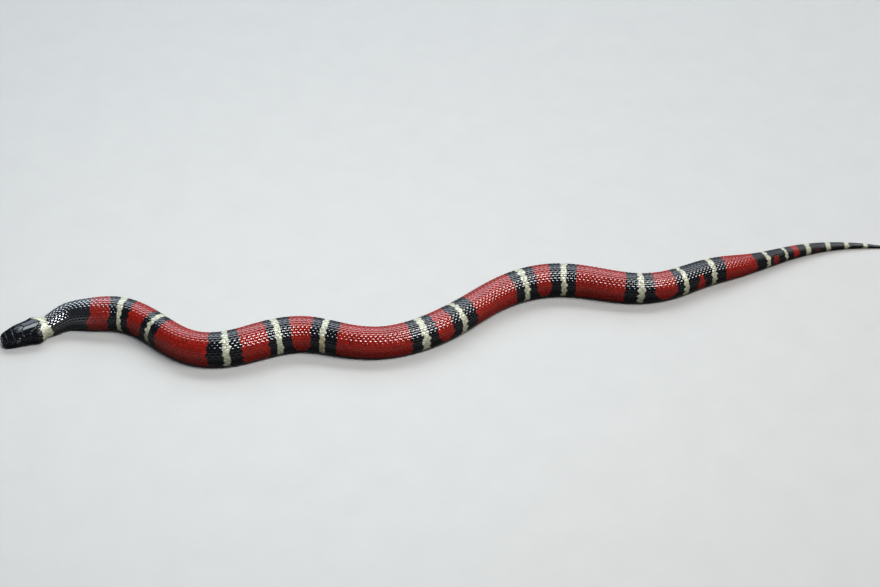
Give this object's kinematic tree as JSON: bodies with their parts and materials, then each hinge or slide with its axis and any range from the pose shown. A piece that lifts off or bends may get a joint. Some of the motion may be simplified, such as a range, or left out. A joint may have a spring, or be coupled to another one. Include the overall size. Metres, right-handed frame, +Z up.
{
  "type": "milk snake",
  "caption": "Young red, black and cream banded milk snake lying still in loose bends, life size.",
  "frame": {"origin": "on the floor, under the middle of the animal's box", "axes": "+X along the body's longest reach, from the head end toward the tail; +Y toward the side the tail lies on; +Z up, with the belly on z = 0"},
  "size_m": [0.4009, 0.0859, 0.0143],
  "materials": {
    "skin": "glossy",
    "eye": "glossy"
  },
  "bodies": {
    "root": {"head": "skin", "lower_jaw": "skin", "eye_left": "eye", "eye_right": "eye", "neck": "skin", "trunk_1": "skin", "trunk_2": "skin", "trunk_3": "skin", "trunk_4": "skin", "trunk_5": "skin", "trunk_6": "skin", "tail_1": "skin", "tail_2": "skin"}
  },
  "joints": []
}
